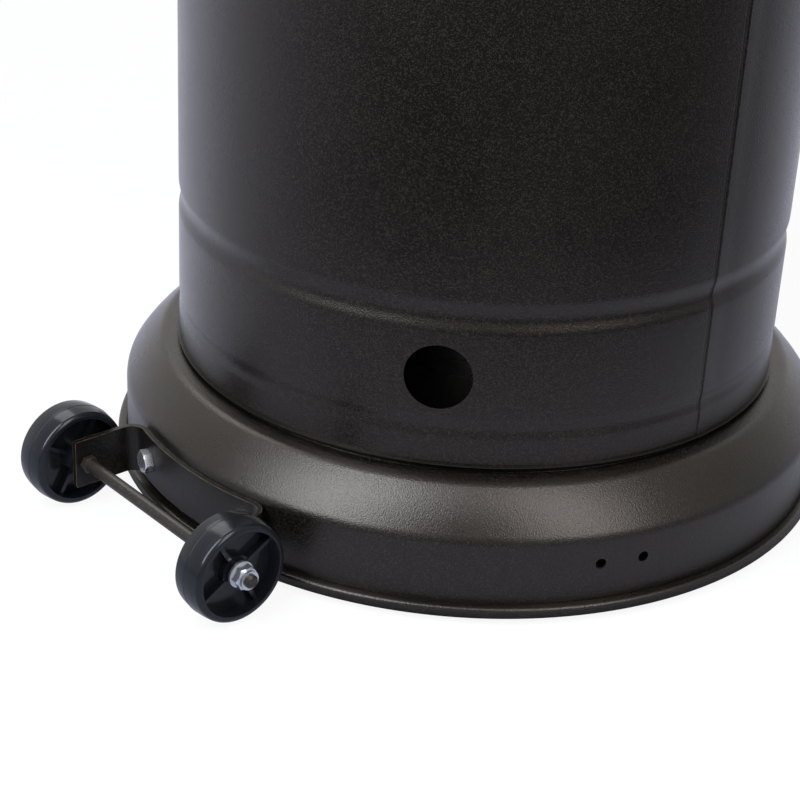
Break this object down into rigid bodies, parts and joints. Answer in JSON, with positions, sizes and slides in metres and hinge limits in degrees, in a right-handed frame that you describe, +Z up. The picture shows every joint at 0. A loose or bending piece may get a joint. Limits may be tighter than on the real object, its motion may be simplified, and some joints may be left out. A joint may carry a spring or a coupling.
{
  "type": "patio heater",
  "caption": "Mushroom-type outdoor gas heater: wheeled spun base, lift-up round bottle housing, post, control head with emitter and a round reflector on studs.",
  "frame": {"origin": "on the floor under the middle of the base, which is also under the middle of the reflector", "axes": "+Z up along the post, front with the controls towards -Y, wheels at +Y, X along the axle"},
  "size_m": [0.8146, 0.8145, 2.1739],
  "materials": {
    "body_paint": "dark bronze hammered powder coat with fine metallic flake",
    "zinc_steel": "zinc plated",
    "wheel_plastic": "black moulded plastic",
    "hose_rubber": "matt black hose",
    "grey_casting": "die-cast, tumbled",
    "regulator_paint": "grey paint",
    "brass": "machined",
    "knob_plastic": "black moulded plastic",
    "button_plastic": "black polished plastic",
    "pipe_aluminium": "drawn tube",
    "stainless": "heat tinted stainless steel",
    "ceramic": "glazed ceramic",
    "reflector_aluminium": "bright rolled sheet"
  },
  "bodies": {
    "base": {"axle_nuts": "zinc_steel", "axle_rod": "body_paint", "axle_washers": "zinc_steel", "base_pan": "body_paint", "bottle_deck": "body_paint", "bracket_bolts": "zinc_steel", "bracket_nuts": "zinc_steel", "burner_deck": "body_paint", "burner_head": "stainless", "burner_tube": "stainless", "control_housing": "body_paint", "control_panel": "body_paint", "deck_screws": "zinc_steel", "emitter_cap": "stainless", "emitter_screen": "stainless", "gas_hose": "hose_rubber", "gas_jet": "brass", "gas_pipe": "pipe_aluminium", "gas_valve": "brass", "glide_pads": "wheel_plastic", "head_sleeve": "body_paint", "igniter_body": "knob_plastic", "inlet_fitting": "brass", "inlet_pipe": "pipe_aluminium", "panel_screws": "zinc_steel", "pilot_burner": "stainless", "post": "body_paint", "post_screws": "zinc_steel", "reflector_panel_1": "reflector_aluminium", "reflector_panel_2": "reflector_aluminium", "reflector_panel_3": "reflector_aluminium", "reflector_plate": "reflector_aluminium", "reflector_rivets": "zinc_steel", "reflector_strips": "reflector_aluminium", "reflector_studs": "zinc_steel", "regulator_body": "grey_casting", "regulator_cap": "regulator_paint", "sleeve_screws": "zinc_steel", "spark_electrode": "ceramic", "stud_spacers": "reflector_aluminium", "support_bolts": "zinc_steel", "support_left": "body_paint", "support_nuts": "zinc_steel", "support_rear": "body_paint", "support_right": "body_paint", "thermocouple": "stainless", "tilt_switch": "knob_plastic", "wheel_bracket": "body_paint", "wing_nuts": "zinc_steel"},
    "wheel_left": {"wheel_left": "wheel_plastic"},
    "wheel_right": {"wheel_right": "wheel_plastic"},
    "housing": {"housing_shell": "body_paint", "housing_cap": "body_paint", "cap_ring": "wheel_plastic", "cap_screws": "zinc_steel"},
    "valve_plunger": {"valve_plunger": "brass"},
    "control_knob": {"control_knob": "knob_plastic", "valve_stem": "brass"},
    "igniter_button": {"igniter_button": "button_plastic"},
    "regulator_nut": {"regulator_nut": "brass"}
  },
  "joints": [
    {"name": "wheel_left_spin", "type": "hinge", "parent": "base", "child": "wheel_left", "pos_m": [0, 0.25468, 0.0315], "axis": [1, 0, 0], "continuous": true},
    {"name": "wheel_right_spin", "type": "hinge", "parent": "base", "child": "wheel_right", "pos_m": [0, 0.25468, 0.0315], "axis": [1, 0, 0], "continuous": true},
    {"name": "housing_lift", "type": "slide", "parent": "base", "child": "housing", "axis": [0, 0, 1], "range_m": [0, 0.6]},
    {"name": "valve_press", "type": "slide", "parent": "base", "child": "valve_plunger", "axis": [0, 1, 0], "range_m": [0, 0.003], "stiffness_N_per_m": 800, "springref_m": -0.002},
    {"name": "knob_turn", "type": "hinge", "parent": "valve_plunger", "child": "control_knob", "pos_m": [0, -0.1031, 1.65974], "axis": [0, -1, 0], "range_deg": [0, 190]},
    {"name": "igniter_press", "type": "slide", "parent": "base", "child": "igniter_button", "axis": [0, 1, 0], "range_m": [0, 0.005], "stiffness_N_per_m": 600, "springref_m": -0.003},
    {"name": "regulator_nut_turn", "type": "hinge", "parent": "base", "child": "regulator_nut", "pos_m": [0, 0, 0.613], "axis": [0, 0, 1], "continuous": true}
  ]
}
